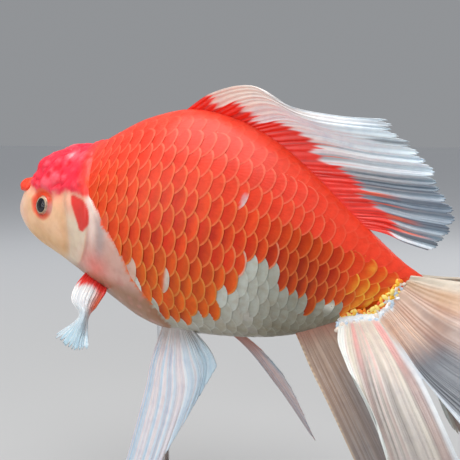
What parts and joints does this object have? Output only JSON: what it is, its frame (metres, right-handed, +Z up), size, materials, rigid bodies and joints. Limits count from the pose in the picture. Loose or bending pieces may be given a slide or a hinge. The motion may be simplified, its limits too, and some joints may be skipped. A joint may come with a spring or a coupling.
{
  "type": "fancy goldfish display model",
  "caption": "Life-size still model of a fantailed fancy goldfish with a domed back, low head growth and flowing fins, held by a short rod on a flat oval base.",
  "frame": {"origin": "centre of the base's underside, on the surface that it stands on", "axes": "+Z up; the fish's head points along -X, 12 degrees nose up, and its left side faces -Y"},
  "size_m": [0.2279, 0.1178, 0.1826],
  "materials": {
    "red_scales": "wet red-orange fish scales",
    "white_skin": "wet pearly white skin",
    "cream_skin": "wet cream skin",
    "rose_growth": "soft rose-red head growth",
    "fin_membrane": "thin rayed fin membrane",
    "eye_black": "wet dark eye",
    "dark_walnut": "satin dark walnut",
    "polished_steel": "polished steel rod",
    "brushed_brass": "brushed brass collar"
  },
  "bodies": {
    "root": {"head": "cream_skin", "head_growth": "rose_growth", "lips": "cream_skin", "nose_flap_left": "red_scales", "nose_flap_right": "red_scales", "eye_left": "eye_black", "eye_right": "eye_black", "gill_cover_left": "white_skin", "gill_cover_right": "white_skin", "trunk": "red_scales", "tail_stalk": "red_scales", "dorsal_fin": "fin_membrane", "pectoral_fin_left": "fin_membrane", "pectoral_fin_right": "fin_membrane", "pelvic_fin_left": "fin_membrane", "pelvic_fin_right": "fin_membrane", "anal_fin_left": "fin_membrane", "anal_fin_right": "fin_membrane", "tail_fin_upper_left": "fin_membrane", "tail_fin_upper_right": "fin_membrane", "tail_fin_lower_left": "fin_membrane", "tail_fin_lower_right": "fin_membrane", "stand_base": "dark_walnut", "stand_rod": "polished_steel", "stand_collar": "brushed_brass"}
  },
  "joints": []
}
